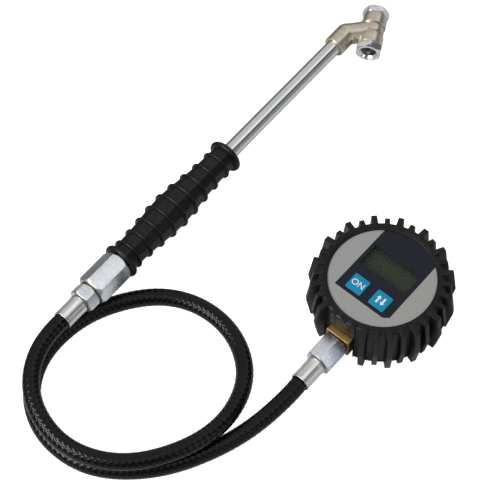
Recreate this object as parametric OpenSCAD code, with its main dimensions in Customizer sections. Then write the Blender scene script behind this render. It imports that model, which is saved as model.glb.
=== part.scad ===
// Digital tire pressure gauge in a rubber boot, with a hose, a hand lance and a two-foot chuck.
// Origin: centre of the gauge's back on the table. +Z comes out of the gauge's face, +Y is up on
// the face, and the hose leaves the gauge along -Y. The lance and the hose lie on the table.

/* [Boot] */
// Radius of the boot between its lugs
boot_r = 34.8; // [34.2:0.1:36]
// Height of the boot from the table to its front lip
boot_h = 34.6; // [34.6:0.1:36]
// Radius of the boot's round opening over the face
lip_r = 30; // [29:0.1:30.4]
// Radius of a tall lug at its front edge, at half height and at its back edge
tall_lug_r = [39.4, 41.5, 38.7];
// How much shorter than a tall lug a short lug is
short_lug_drop = 1.8; // [0.5:0.1:3]
// Width of a tall lug
tall_lug_w = 3.1; // [2:0.1:4]
// Width of a short lug
short_lug_w = 2.7; // [1.5:0.1:3.5]
// Number of tall lugs in a full turn, with a short lug after each
lug_pairs = 16; // [12:1:16]

/* [Gauge head] */
// Outer radius of the plastic case
case_r = 31.5; // [31.3:0.1:31.55]
// Height of the face above the table
face_z = 33; // [33:0.1:33.1]
// Height of the stem's axis above the table
stem_z = 14.5; // [14.3:0.1:15]
// Width of the display opening
display_w = 31; // [26:0.5:31]
// Height of the display opening along the face
display_h = 14; // [11:0.5:14]
// Distance of the display's centre above the face's centre
display_y = 6.8; // [6:0.1:7]
// Side of a square key
key_side = 10.3; // [8:0.1:10.6]
// Distance of each key from the face's centre line
key_x = 7.9; // [7.5:0.1:9]
// Distance of the keys below the face's centre
key_y = -11.4; // [-12:0.1:-11]
// How far a key is pressed in
key_travel = 0.5; // [0.3:0.05:0.5]

/* [Hose fittings] */
// Outer diameter of the hose
hose_d = 10; // [9.5:0.1:10]
// Distance across the flats of the gauge's hose tail
gauge_hex_af = 15; // [14:0.5:16]
// Length of the hexagon on the gauge's hose tail
gauge_hex_len = 15.8; // [12:0.1:16]
// Distance across the flats of the handle's hose tail
handle_hex_af = 14; // [14:0.5:16]
// Length of the hexagon on the handle's hose tail
handle_hex_len = 7.8; // [6:0.1:8]
// Outer radius of a crimped ferrule
ferrule_r = 5.85; // [5.7:0.05:6.1]
// Length of a crimped ferrule
ferrule_len = 14.5; // [13:0.1:15]

/* [Lance] */
// Distance across the flats of the long coupling
coupling_af = 17; // [16:0.5:19]
// Length of the coupling
coupling_len = 23.7; // [22:0.1:25]
// Length of the rubber grip
grip_len = 95; // [90:0.5:95]
// Radius of the grip's body near its ends
grip_waist_r = 7.9; // [7.5:0.1:8.5]
// How much thicker the grip is near its middle
grip_swell = 2.4; // [1:0.1:2.8]
// Number of thin ribs around the grip
grip_ribs = 9; // [6:1:10]
// Outer radius of the rod
rod_r = 4.75; // [4.5:0.05:4.75]

/* [Chuck] */
// Radius of each barrel
barrel_r = 7.3; // [7:0.1:7.5]
// Distance from the chuck's centre to the end of each barrel
barrel_end = 10.8; // [10.8:0.1:11.5]
// Distance across the flats of each cap
cap_af = 14; // [13.5:0.1:14.2]
// Length of a cap's hexagon
cap_len = 4.7; // [4.7:0.1:5.5]
// Radius of the port that a tyre valve enters
port_r = 4.1; // [4:0.05:4.3]
// How far a valve pin is pushed in
pin_travel = 1.8; // [1:0.1:1.8]

/* [Lie of the lance] */
// Point on the rod's axis beside the chuck's centre
lance_at = [-125.1, 136.5, 7.8];
// Turn of the lance about the vertical
lance_yaw = 0.9; // [0:0.1:1.5]
// Slope of the lance, down towards the chuck
lance_tilt = 3; // [2.8:0.1:3.2]
// Sideways distance from the rod's axis to the chuck's centre
chuck_offset = 10.9; // [10:0.1:12]
// Angle between the rod and the barrels
chuck_angle = 28; // [25:1:30]

/* [Hidden] */
$fn = 96;
eps = 0.01;

// Boot
lug_pitch = 360 / lug_pairs;
boot_round = 1.2;
boot_back_r = 27;
boot_back_t = 2.2;
lug_top_z = [boot_h + 0.3, boot_h - 0.8];
lug_mid_z = 17;
lug_back_z = 0.6;
lug_root_r = 33;
lip_in_z = face_z + 0.4;
slot_w = 16.4;
slot_top = 22.4;
stem_gap_w = 21;
stem_gap_at = 35.8;

// Case and face
case_floor_z = boot_back_t + 0.2;
case_floor_t = 2.2;
case_wall = 2.2;
case_top_z = face_z - 5.6;
label_t = 0.3;
label_r = case_r - 0.6;
plate_t = 2;
post_r = 2.9;
post_at = 25.5;
post_angles = [55, 125, 235, 305];
screw_r = 1.2;
screw_fit = 0.05;
lens_margin = 1;
lens_t = 1.2;

// Circuit board and what stands on it
board_z = 23;
board_t = 1.6;
board_top = board_z + board_t;
frame_top = face_z - plate_t - 0.2;
frame_wall = 1.3;
panel_size = [34, 17, 2.4];
panel_z = board_top + 3.5;
switch_size = [6, 6, 3.6];
key_gap = 0.2;
key_proud = 0.6;
key_flange = 1;
board_screw_x = 22;
board_screw_y = 6;

// Brass stem
stem_w = 15.5;
stem_h = 14;
stem_face = 38.5;
stem_back = 16;
thread_r = 4.95;
thread_len = 10;
thread_fit = 0.1;
passage_r = 1.8;
sensor_y = -22;
sensor_pocket_r = 2.4;
stem_screw_x = 5.2;

// Battery
battery_y = 4;
cell_r = 12.2;
cell_t = 3;
door_r = 14;
door_fit = 0.15;

// Hose fittings
washer_r = 7;
washer_t = 1;
barb_r = 3;
bore_r = 1.9;
neck_r = 4;
ferrule_gap = 0.7;
ferrule_in_r = 5;
ferrule_lip = 1.2;
gauge_hex_at = stem_face + washer_t;
gauge_ferrule_at = gauge_hex_at + gauge_hex_len + ferrule_gap;
gauge_exit = gauge_ferrule_at + ferrule_len;

// Stations along the lance, counted back from lance_at towards the hose
boss_end = 23.5;
boss_front = 11;
boss_r = 6.4;
rod_front = 13;
grip_at = 121.8;
coupling_at = grip_at + grip_len;
coupling_end = coupling_at + coupling_len;
rod_back = coupling_at + 11;
handle_hex_at = coupling_end + washer_t;
handle_ferrule_at = handle_hex_at + handle_hex_len + ferrule_gap;
handle_exit = handle_ferrule_at + ferrule_len;
gauge_hex_clock = 16;
coupling_clock = -14;
handle_hex_clock = -5;
fit = 0.05;

// Grip
grip_flange_r = [10.4, 10.9];
grip_flange_t = 4;
rib_proud = 1.3;
rib_t = 2.4;
grip_steps = 40;

// Chuck, with stations along the barrels counted from the chuck's centre
neck_bar_r = 6.6;
ring_r = 6.7;
ring_half = 2.3;
groove_w = 0.5;
groove_r = 6;
chamber_r = 5.4;
chamber_floor = 0.8;
spigot_end = 7;
seal_seat = 9.5;
seal_t = 2;
seal_hole_r = 2;
guide_t = 1.6;
pin_r = 1.5;
pin_tip = seal_seat - 0.2;
pin_flange_r = 3;
pin_flange = [3.9, 5.1];
spring_r = 2.3;
spring_wire = 0.35;
spring_turns = 4;

// The route of the hose's centre line on the table, from the handle to the gauge
function turn_z(p, a) = [p.x * cos(a) - p.y * sin(a), p.x * sin(a) + p.y * cos(a), p.z];
function turn_x(p, a) = [p.x, p.y * cos(a) - p.z * sin(a), p.y * sin(a) + p.z * cos(a)];
function on_lance(s) = lance_at + turn_z(turn_x([0, -s, 0], -lance_tilt), lance_yaw);
hose_route = concat(
    [on_lance(handle_exit), on_lance(handle_exit + 6)],
    [
        [-120, -144.5, 21.2], [-116, -156.3, 19.8], [-108.5, -166.6, 18.2],
        [-97, -174.8, 16.7], [-80.5, -179.5, 15.7], [-64, -178.5, 15.5], [-48.5, -172, 15.5],
        [-36, -161.5, 15.5], [-26.5, -148, 15.5], [-20, -133, 14.5], [-17.5, -117, 12.5],
        [-19.5, -101.5, 10], [-25.5, -87, 7.6], [-36, -75.5, 6], [-50, -68, 5.5],
        [-65.5, -65.5, 5.2], [-81, -68, 5.2], [-95, -75.5, 5.2], [-106, -87, 5.2],
        [-114.5, -100.5, 5.2], [-120, -115, 5.2], [-122, -131, 5.2], [-120.5, -146, 5.2],
        [-114.5, -160, 5.2], [-104, -171.5, 5.2], [-90, -178.5, 5.2], [-74, -180.5, 5.2],
        [-58, -177.5, 5.2], [-44, -169.5, 5.2], [-32, -158.5, 5.2], [-22.5, -146, 5.2],
        [-15, -132, 5.2], [-9, -117.5, 5.5], [-4.5, -102.5, 7], [-1.5, -88.5, 10.5]
    ],
    [[0, -gauge_exit - 6, stem_z - 1], [0, -gauge_exit, stem_z]]
);
hose_sides = 12;

module at_stem(d) {
    translate([0, -d, stem_z]) rotate([90, 0, 0]) children();
}

module at_lance(s = 0) {
    translate(lance_at) rotate([0, 0, lance_yaw]) rotate([-lance_tilt, 0, 0])
        translate([0, -s, 0]) rotate([90, 0, 0]) children();
}

module at_front_barrel() {
    translate(lance_at) rotate([0, 0, lance_yaw]) rotate([-lance_tilt, 0, 0])
        translate([chuck_offset, 0, 0]) rotate([0, 0, chuck_angle]) rotate([-90, 0, 0]) children();
}

module at_rear_barrel() {
    translate(lance_at) rotate([0, 0, lance_yaw]) rotate([-lance_tilt, 0, 0])
        translate([chuck_offset, 0, 0]) rotate([0, 0, chuck_angle]) rotate([90, 0, 0]) children();
}

// Hexagonal bar with both ends turned to a cone, centred on the axis
module hex_bar(af, len, chamfer = 1.1) {
    corner_r = af / sqrt(3);
    cone_r = af / 2 - 0.2;
    intersection() {
        cylinder(r = corner_r, h = len, $fn = 6);
        rotate_extrude()
            polygon([
                [0, 0], [cone_r, 0], [corner_r + 0.1, chamfer],
                [corner_r + 0.1, len - chamfer], [cone_r, len], [0, len]
            ]);
    }
}

// Gauge head

module lug(radii, w) {
    rotate([90, 0, 0])
        linear_extrude(height = w, center = true)
            polygon([
                [lug_root_r, lug_back_z], [radii[2], lug_back_z], [radii[1], lug_mid_z],
                [radii[0], lug_top_z[1]], [lip_r + 2, lug_top_z[0]], [lip_r + 2, boot_h - 1.4],
                [lug_root_r, boot_h - 4]
            ]);
}

module boot_ring() {
    rotate_extrude()
        polygon([
            [boot_back_r, 0], [boot_r - boot_round, 0], [boot_r, boot_round],
            [boot_r, boot_h - 2.2], [boot_r - boot_round, boot_h - 0.5], [lip_r + 1.4, boot_h],
            [lip_r, boot_h - 0.9], [lip_r, lip_in_z], [case_r + 0.1, lip_in_z],
            [case_r + 0.1, boot_back_t], [boot_back_r, boot_back_t]
        ]);
}

module rubber_boot() {
    short_r = [for (r = tall_lug_r) r - short_lug_drop];
    color([0.09, 0.09, 0.09])
        difference() {
            union() {
                boot_ring();
                difference() {
                    for (i = [0 : lug_pairs - 1])
                        rotate([0, 0, 90 + i * lug_pitch]) {
                            lug(tall_lug_r, tall_lug_w);
                            rotate([0, 0, lug_pitch / 2]) lug(short_r, short_lug_w);
                        }
                    translate([-stem_gap_w / 2, -50, -1]) cube([stem_gap_w, 50 - stem_gap_at, 60]);
                }
            }
            translate([-slot_w / 2, -50, -1]) cube([slot_w, 30, slot_top + 1]);
        }
}

module at_posts() {
    for (a = post_angles) rotate([0, 0, a]) translate([post_at, 0, 0]) children();
}

module case_body() {
    in_r = case_r - case_wall;
    color([0.14, 0.14, 0.15])
        difference() {
            union() {
                difference() {
                    translate([0, 0, case_floor_z]) cylinder(r = case_r, h = case_top_z - case_floor_z);
                    translate([0, 0, case_floor_z + case_floor_t]) cylinder(r = in_r, h = 40);
                }
                at_posts()
                    translate([0, 0, case_floor_z + 1]) cylinder(r = post_r, h = case_top_z - case_floor_z - 1);
                for (x = [-stem_screw_x, stem_screw_x])
                    translate([x, -20, case_floor_z + 1])
                        cylinder(r = 2.4, h = stem_z - stem_h / 2 - 0.1 - case_floor_z - 1);
                for (x = [-board_screw_x, board_screw_x])
                    translate([x, board_screw_y, case_floor_z + 1])
                        cylinder(r = 2.2, h = board_z - case_floor_z - 1);
            }
            translate([-stem_w / 2 - 0.2, -40, stem_z - stem_h / 2 - 0.1])
                cube([stem_w + 0.4, 15, stem_h + 0.3]);
            translate([0, battery_y, 0]) cylinder(r = door_r + door_fit, h = 10);
            at_posts() {
                cylinder(r = screw_r + screw_fit, h = 40);
                cylinder(r = 2.4, h = case_floor_z + 1.5);
            }
            for (x = [-stem_screw_x, stem_screw_x])
                translate([x, -20, 0]) {
                    cylinder(r = screw_r + screw_fit, h = 12);
                    cylinder(r = 2.2, h = case_floor_z + 1.5);
                }
            for (x = [-board_screw_x, board_screw_x])
                translate([x, board_screw_y, board_z - 6]) cylinder(r = 1 + screw_fit, h = 10);
        }
}

module front_bezel() {
    lens_w = display_w + 2 * lens_margin + 0.4;
    lens_h = display_h + 2 * lens_margin + 0.4;
    hole = key_side + 2 * key_gap;
    color([0.12, 0.12, 0.13])
        difference() {
            union() {
                difference() {
                    translate([0, 0, case_top_z]) cylinder(r = case_r, h = face_z - case_top_z);
                    translate([0, 0, case_top_z - 1])
                        cylinder(r = case_r - case_wall, h = face_z - plate_t - case_top_z + 1);
                }
                at_posts()
                    translate([0, 0, case_top_z]) cylinder(r = post_r, h = face_z - case_top_z - 0.5);
            }
            translate([-display_w / 2, display_y - display_h / 2, 20]) cube([display_w, display_h, 20]);
            translate([-lens_w / 2, display_y - lens_h / 2, face_z - lens_t - 0.05])
                cube([lens_w, lens_h, 5]);
            for (x = [-key_x, key_x])
                translate([x - hole / 2, key_y - hole / 2, 20]) cube([hole, hole, 20]);
            at_posts() translate([0, 0, 20]) cylinder(r = screw_r + screw_fit, h = 11.5);
        }
}

module face_label() {
    hole = key_side + 2 * key_gap;
    color([0.66, 0.66, 0.64])
        difference() {
            translate([0, 0, face_z]) cylinder(r = label_r, h = label_t);
            translate([-display_w / 2, display_y - display_h / 2, face_z - 1])
                cube([display_w, display_h, 3]);
            for (x = [-key_x, key_x])
                translate([x - hole / 2, key_y - hole / 2, face_z - 1]) cube([hole, hole, 3]);
        }
}

module display_window() {
    w = display_w + 2 * lens_margin;
    h = display_h + 2 * lens_margin;
    color([0.75, 0.8, 0.78, 0.5])
        translate([-w / 2, display_y - h / 2, face_z - lens_t]) cube([w, h, lens_t]);
}

module display_panel() {
    color([0.2, 0.24, 0.19])
        translate([-panel_size.x / 2, display_y - panel_size.y / 2, panel_z - 1]) cube(panel_size);
}

module display_frame() {
    w = panel_size.x + 0.4 + 2 * frame_wall;
    h = panel_size.y + 0.4 + 2 * frame_wall;
    color([0.1, 0.1, 0.11])
        translate([0, display_y, board_top])
            difference() {
                translate([-w / 2, -h / 2, 0]) cube([w, h, frame_top - board_top]);
                translate([-panel_size.x / 2 - 0.2, -panel_size.y / 2 - 0.2, 2.4])
                    cube([panel_size.x + 0.4, panel_size.y + 0.4, 10]);
                translate([-panel_size.x / 2 + 1, -panel_size.y / 2 + 1, -1])
                    cube([panel_size.x - 2, panel_size.y - 2, 10]);
            }
}

module display_connector() {
    color([0.75, 0.45, 0.55])
        translate([-14, display_y + 4, board_top]) cube([28, 2.4, panel_z - 1 - board_top]);
}

module circuit_board() {
    color([0.05, 0.32, 0.18])
        difference() {
            translate([0, 0, board_z]) cylinder(r = case_r - case_wall - 0.5, h = board_t);
            at_posts() cylinder(r = post_r + 0.3, h = 40);
            for (x = [-board_screw_x, board_screw_x])
                translate([x, board_screw_y, 0]) cylinder(r = 1.2, h = 40);
        }
}

module board_screws() {
    color([0.7, 0.7, 0.72])
        for (x = [-board_screw_x, board_screw_x])
            translate([x, board_screw_y, 0]) {
                translate([0, 0, board_z - 5]) cylinder(r = 1, h = board_t + 5.5);
                translate([0, 0, board_top]) cylinder(r = 1.9, h = 1.2);
            }
}

module tact_switch(x) {
    color([0.2, 0.2, 0.22])
        translate([x - switch_size.x / 2, key_y - switch_size.y / 2, board_top]) cube(switch_size);
    color([0.7, 0.7, 0.72])
        translate([x, key_y, board_top + switch_size.z - eps]) cylinder(r = 1.7, h = 0.1);
}

module on_switch() tact_switch(-key_x);

module unit_switch() tact_switch(key_x);

// A key's cap stands proud of the label, its flange stays under the plate, and its stem ends just
// above the switch
module key(x) {
    flange = key_side + 2;
    flange_top = face_z - plate_t - 0.2;
    stem_bottom = board_top + switch_size.z + 0.1 + key_travel + 0.15;
    color([0.05, 0.5, 0.75])
        translate([x, key_y, 0]) {
            translate([-key_side / 2, -key_side / 2, flange_top - key_flange])
                cube([key_side, key_side, face_z + key_proud - flange_top + key_flange]);
            translate([-flange / 2, -flange / 2, flange_top - key_flange])
                cube([flange, flange, key_flange]);
            translate([0, 0, stem_bottom]) cylinder(r = 1.6, h = flange_top - key_flange - stem_bottom + eps);
        }
}

module on_key() key(-key_x);

module unit_key() key(key_x);

module pressure_sensor() {
    color([0.75, 0.75, 0.78])
        translate([0, sensor_y, 0])
            difference() {
                union() {
                    translate([0, 0, stem_z + stem_h / 2 + 0.2])
                        cylinder(r = 5, h = board_z - stem_z - stem_h / 2 - 0.2);
                    translate([0, 0, stem_z + 3.4]) cylinder(r = 1.6, h = 5);
                }
                cylinder(r = 0.6, h = board_z - 0.6);
            }
}

module sensor_oring() {
    color([0.15, 0.15, 0.15])
        translate([0, sensor_y, stem_z + stem_h / 2 - 1.6])
            rotate_extrude() translate([2, 0]) circle(r = 0.36, $fn = 32);
}

module brass_stem() {
    color([0.6, 0.45, 0.2])
        difference() {
            translate([-stem_w / 2, -stem_face, stem_z - stem_h / 2])
                cube([stem_w, stem_face - stem_back, stem_h]);
            at_stem(stem_face - thread_len) cylinder(r = thread_r, h = thread_len + 1);
            at_stem(-sensor_y - 1) cylinder(r = passage_r, h = 12);
            translate([0, sensor_y, stem_z]) cylinder(r = 1.2, h = 10);
            translate([0, sensor_y, stem_z + 3]) cylinder(r = sensor_pocket_r, h = 10);
            for (x = [-stem_screw_x, stem_screw_x])
                translate([x, -20, 0]) cylinder(r = screw_r + screw_fit, h = 12.5);
        }
}

module back_screw(len) {
    translate([0, 0, case_floor_z + 0.8]) cylinder(r = screw_r, h = len + 0.7);
    difference() {
        translate([0, 0, case_floor_z + 0.1]) cylinder(r = 2.1, h = 1.35);
        translate([-1.4, -0.25, case_floor_z]) cube([2.8, 0.5, 0.7]);
        translate([-0.25, -1.4, case_floor_z]) cube([0.5, 2.8, 0.7]);
    }
}

module stem_screws() {
    color([0.7, 0.7, 0.72])
        for (x = [-stem_screw_x, stem_screw_x])
            translate([x, -20, 0]) back_screw(8);
}

module case_screws() {
    color([0.7, 0.7, 0.72]) at_posts() back_screw(27);
}

module battery_door() {
    color([0.14, 0.14, 0.15])
        translate([0, battery_y, case_floor_z])
            difference() {
                cylinder(r = door_r, h = case_floor_t - 0.4);
                translate([-8, -0.9, -1]) cube([16, 1.8, 2]);
            }
}

module coin_cell() {
    color([0.8, 0.8, 0.82])
        translate([0, battery_y, case_floor_z + case_floor_t]) {
            cylinder(r = cell_r, h = cell_t - 0.6);
            translate([0, 0, cell_t - 0.6 - eps]) cylinder(r = cell_r - 1.2, h = 0.6);
        }
}

module battery_holder() {
    z = case_floor_z + case_floor_t;
    color([0.2, 0.2, 0.22])
        translate([0, battery_y, z])
            difference() {
                cylinder(r = door_r + 2, h = cell_t + 2.4);
                translate([0, 0, -1]) cylinder(r = cell_r + 0.2, h = cell_t + 2);
                translate([0, 0, -1]) cylinder(r = cell_r - 4, h = cell_t + 5);
            }
}

module battery_contact() {
    color([0.8, 0.75, 0.5])
        translate([0, battery_y, case_floor_z + case_floor_t + cell_t])
            difference() {
                cylinder(r = 9.6, h = 0.9);
                translate([0, 0, -1]) cylinder(r = 5, h = 3);
            }
}

// Hose and its fittings

module washer() {
    difference() {
        cylinder(r = washer_r, h = washer_t);
        translate([0, 0, -1]) cylinder(r = thread_r + fit, h = washer_t + 2);
    }
}

// Hose tail: thread on one side of the hexagon, barb on the other, measured from the washer's far face
module hose_tail(af, hex_len, clock) {
    thread_total = thread_len + washer_t - 1;
    barb_len = ferrule_gap + ferrule_len - 1;
    difference() {
        union() {
            rotate([0, 0, clock]) hex_bar(af, hex_len);
            translate([0, 0, -thread_total]) cylinder(r = thread_r - thread_fit, h = thread_total + eps);
            translate([0, 0, hex_len - eps]) cylinder(r = barb_r, h = barb_len);
            translate([0, 0, hex_len - eps]) cylinder(r = neck_r, h = ferrule_gap);
        }
        translate([0, 0, -20]) cylinder(r = bore_r, h = 60);
    }
}

module ferrule() {
    difference() {
        rotate_extrude()
            polygon([
                [0, 0], [ferrule_r - 0.5, 0], [ferrule_r, 0.5],
                [ferrule_r, ferrule_len - 0.3], [ferrule_r - 0.3, ferrule_len], [0, ferrule_len]
            ]);
        translate([0, 0, ferrule_lip]) cylinder(r = ferrule_in_r, h = ferrule_len);
        translate([0, 0, -1]) cylinder(r = barb_r + fit, h = ferrule_len);
    }
}

module hose_end() {
    difference() {
        translate([0, 0, ferrule_lip + fit])
            cylinder(r = ferrule_in_r - fit, h = ferrule_len - ferrule_lip - fit);
        translate([0, 0, -1]) cylinder(r = barb_r + fit, h = ferrule_len + 2);
    }
}

module gauge_washer() color([0.35, 0.1, 0.08]) at_stem(stem_face) washer();

module gauge_hose_tail()
    color([0.75, 0.77, 0.78]) at_stem(gauge_hex_at) hose_tail(gauge_hex_af, gauge_hex_len, gauge_hex_clock);

module gauge_ferrule() color([0.82, 0.82, 0.8]) at_stem(gauge_ferrule_at) ferrule();

module gauge_hose_end() color([0.06, 0.06, 0.06]) at_stem(gauge_ferrule_at) hose_end();

module handle_washer() color([0.6, 0.42, 0.2]) at_lance(coupling_end) washer();

module handle_hose_tail()
    color([0.75, 0.77, 0.78])
        at_lance(handle_hex_at) hose_tail(handle_hex_af, handle_hex_len, handle_hex_clock);

module handle_ferrule() color([0.82, 0.82, 0.8]) at_lance(handle_ferrule_at) ferrule();

module handle_hose_end() color([0.06, 0.06, 0.06]) at_lance(handle_ferrule_at) hose_end();

function unit(v) = v / norm(v);

// A cubic B-spline whose control points are pushed outwards, so that it passes along the route
function control(p, i) =
    let (n = len(p) - 1)
    i < 0 ? 2 * p[0] - control(p, 1)
    : i > n ? 2 * p[n] - control(p, n - 1)
    : i == 0 || i == n ? p[i]
    : p[i] - (p[i - 1] - 2 * p[i] + p[i + 1]) / 6;
function spline(p, i, t) = (
    pow(1 - t, 3) * control(p, i - 1)
    + (3 * t * t * t - 6 * t * t + 4) * control(p, i)
    + (3 * t * t + 3 * t + 1 - 3 * t * t * t) * control(p, i + 1)
    + t * t * t * control(p, i + 2)
) / 6;
function smooth_route(p) = concat(
    [for (i = [0 : len(p) - 2]) for (t = [0, 0.5]) spline(p, i, t)],
    [p[len(p) - 1]]
);
function direction(p, i) =
    let (n = len(p) - 1) unit(p[min(i + 1, n)] - p[max(i - 1, 0)]);
function ring(centre, along, r) =
    let (
        side = unit(cross(along, [0, 0, 1])),
        up = cross(side, along)
    )
    [for (k = [0 : hose_sides - 1])
        centre + r * (cos(k * 360 / hose_sides) * side + sin(k * 360 / hose_sides) * up)];

module swept_tube(p, dirs, r) {
    n = len(p);
    points = [for (i = [0 : n - 1]) each ring(p[i], dirs[i], r)];
    walls = [
        for (i = [0 : n - 2]) for (k = [0 : hose_sides - 1])
            let (a = i * hose_sides + k, b = i * hose_sides + (k + 1) % hose_sides)
            [a, b, b + hose_sides, a + hose_sides]
    ];
    first = [for (k = [hose_sides - 1 : -1 : 0]) k];
    last = [for (k = [0 : hose_sides - 1]) (n - 1) * hose_sides + k];
    polyhedron(points, concat([first], walls, [last]), convexity = 8);
}

module hose() {
    path = smooth_route(hose_route);
    n = len(path) - 1;
    start = unit(on_lance(handle_exit + 1) - on_lance(handle_exit));
    dirs = [
        for (i = [0 : n]) i == 0 ? start : i == n ? [0, 1, 0] : direction(path, i)
    ];
    color([0.05, 0.05, 0.05]) swept_tube(path, dirs, hose_d / 2);
}

// Lance

module coupling() {
    color([0.78, 0.8, 0.81])
        at_lance(coupling_at)
            difference() {
                rotate([0, 0, coupling_clock]) hex_bar(coupling_af, coupling_len, 1.6);
                translate([0, 0, -1]) cylinder(r = rod_r + fit, h = rod_back - coupling_at + 1.1);
                cylinder(r = 2.5, h = 60);
                translate([0, 0, coupling_len - thread_len]) cylinder(r = thread_r, h = 20);
            }
}

function grip_r(s) =
    let (u = s / grip_len, wave = sin(180 * min(max(u - 0.03, 0), 1)))
    grip_waist_r + 0.6 * u + grip_swell * pow(wave, 4);

// The ribs stand a little closer together towards the hose
function rib_at(i) = 10.1 + 10.15 * i - 0.07 * i * i;

module grip_rib(s, r, t) {
    translate([0, 0, s])
        rotate_extrude()
            polygon([
                [rod_r + 1, -t / 2], [r - 0.6, -t / 2], [r, -t / 4],
                [r, t / 4], [r - 0.6, t / 2], [rod_r + 1, t / 2]
            ]);
}

module grip() {
    body = [
        for (i = [0 : grip_steps])
            let (s = i * grip_len / grip_steps) [grip_r(s), s]
    ];
    color([0.07, 0.07, 0.07])
        at_lance(grip_at)
            difference() {
                union() {
                    rotate_extrude() polygon(concat([[0, 0]], body, [[0, grip_len]]));
                    for (i = [0 : grip_ribs - 1])
                        let (s = rib_at(i))
                            grip_rib(s, grip_r(s) + rib_proud, rib_t);
                    grip_rib(grip_flange_t / 2, grip_flange_r[0], grip_flange_t);
                    grip_rib(grip_len - grip_flange_t / 2, grip_flange_r[1], grip_flange_t);
                }
                translate([0, 0, -1]) cylinder(r = rod_r + fit, h = grip_len + 2);
            }
}

module rod() {
    color([0.85, 0.86, 0.86])
        at_lance(rod_front)
            difference() {
                cylinder(r = rod_r, h = rod_back - rod_front);
                translate([0, 0, -1]) cylinder(r = rod_r - 1.4, h = 300);
            }
}

// Chuck

module barrel_outside() {
    rotate_extrude()
        polygon([
            [0, 0], [ring_r, 0], [ring_r, ring_half - 0.3], [groove_r, ring_half],
            [groove_r, ring_half + groove_w], [barrel_r, ring_half + groove_w + 0.6],
            [barrel_r, barrel_end - 0.4], [barrel_r - 0.4, barrel_end], [0, barrel_end]
        ]);
}

module chuck_body() {
    neck_len = norm([chuck_offset, boss_front]);
    neck_turn = atan2(chuck_offset, boss_front);
    color([0.72, 0.66, 0.56])
        difference() {
            union() {
                at_lance(boss_front) cylinder(r = boss_r, h = boss_end - boss_front);
                at_lance(boss_front) sphere(r = boss_r, $fn = 64);
                at_lance(boss_front) rotate([0, 180 - neck_turn, 0]) cylinder(r = neck_bar_r, h = neck_len);
                at_front_barrel() barrel_outside();
                at_rear_barrel() barrel_outside();
            }
            at_lance(rod_front - 0.1) cylinder(r = rod_r + fit, h = 20);
            at_lance(boss_front) cylinder(r = passage_r, h = 10);
            at_lance(boss_front) rotate([0, 180 - neck_turn, 0]) cylinder(r = passage_r, h = neck_len);
            at_front_barrel() translate([0, 0, chamber_floor]) cylinder(r = chamber_r, h = 20);
            at_rear_barrel() translate([0, 0, chamber_floor]) cylinder(r = chamber_r, h = 20);
        }
}

// The pieces of one foot, standing on the chuck's centre with the mouth upwards

module cap(clock) {
    mouth = barrel_end + cap_len;
    color([0.85, 0.86, 0.87])
        difference() {
            union() {
                translate([0, 0, barrel_end]) rotate([0, 0, clock]) hex_bar(cap_af, cap_len, 0.8);
                translate([0, 0, spigot_end]) cylinder(r = chamber_r - fit, h = barrel_end - spigot_end + eps);
            }
            translate([0, 0, mouth - 1.4]) cylinder(r1 = port_r, r2 = port_r + 1.3, h = 1.4 + eps);
            translate([0, 0, seal_seat]) cylinder(r = port_r, h = 20);
            translate([0, 0, spigot_end - 1]) cylinder(r = port_r + 0.5, h = seal_seat - spigot_end + 1);
        }
}

module seal() {
    color([0.1, 0.1, 0.1])
        difference() {
            translate([0, 0, seal_seat - seal_t - 0.1]) cylinder(r = port_r + 0.45, h = seal_t);
            cylinder(r = seal_hole_r, h = 20);
        }
}

module guide() {
    color([0.7, 0.55, 0.3])
        difference() {
            translate([0, 0, spigot_end - guide_t - fit]) cylinder(r = chamber_r - fit, h = guide_t);
            cylinder(r = pin_r + fit, h = 20);
            for (a = [0 : 120 : 240])
                rotate([0, 0, a]) translate([3.6, 0, 0]) cylinder(r = 0.7, h = 20);
        }
}

module pin() {
    color([0.7, 0.55, 0.3]) {
        translate([0, 0, pin_flange[0]]) cylinder(r = pin_r, h = pin_tip - pin_flange[0]);
        translate([0, 0, pin_flange[0]]) cylinder(r = pin_flange_r, h = pin_flange[1] - pin_flange[0]);
    }
}

module coil_spring() {
    turns = spring_turns;
    pitch = (pin_flange[0] - chamber_floor - 2 * spring_wire - 0.1) / (turns - 1);
    color([0.6, 0.6, 0.62])
        for (i = [0 : turns - 1])
            translate([0, 0, chamber_floor + 0.05 + spring_wire + i * pitch])
                rotate_extrude() translate([spring_r, 0]) circle(r = spring_wire, $fn = 16);
}

module front_cap() at_front_barrel() cap(0);

module front_seal() at_front_barrel() seal();

module front_guide() at_front_barrel() guide();

module front_pin() at_front_barrel() pin();

module front_spring() at_front_barrel() coil_spring();

module rear_cap() at_rear_barrel() cap(30);

module rear_seal() at_rear_barrel() seal();

module rear_guide() at_rear_barrel() guide();

module rear_pin() at_rear_barrel() pin();

module rear_spring() at_rear_barrel() coil_spring();

rubber_boot();
case_body();
front_bezel();
face_label();
display_window();
display_panel();
display_frame();
display_connector();
circuit_board();
board_screws();
on_switch();
unit_switch();
on_key();
unit_key();
pressure_sensor();
sensor_oring();
brass_stem();
stem_screws();
battery_holder();
battery_contact();
coin_cell();
battery_door();
case_screws();
gauge_washer();
gauge_hose_tail();
gauge_ferrule();
gauge_hose_end();
hose();
handle_hose_end();
handle_ferrule();
handle_hose_tail();
handle_washer();
coupling();
grip();
rod();
chuck_body();
front_cap();
front_seal();
front_guide();
front_pin();
front_spring();
rear_cap();
rear_seal();
rear_guide();
rear_pin();
rear_spring();
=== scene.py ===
"""Looks of a digital tire pressure gauge with a hose and a two-foot chuck, round its CAD frame."""

import math

import bmesh
import bpy
import numpy as np
from mathutils import Matrix, Vector


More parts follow.
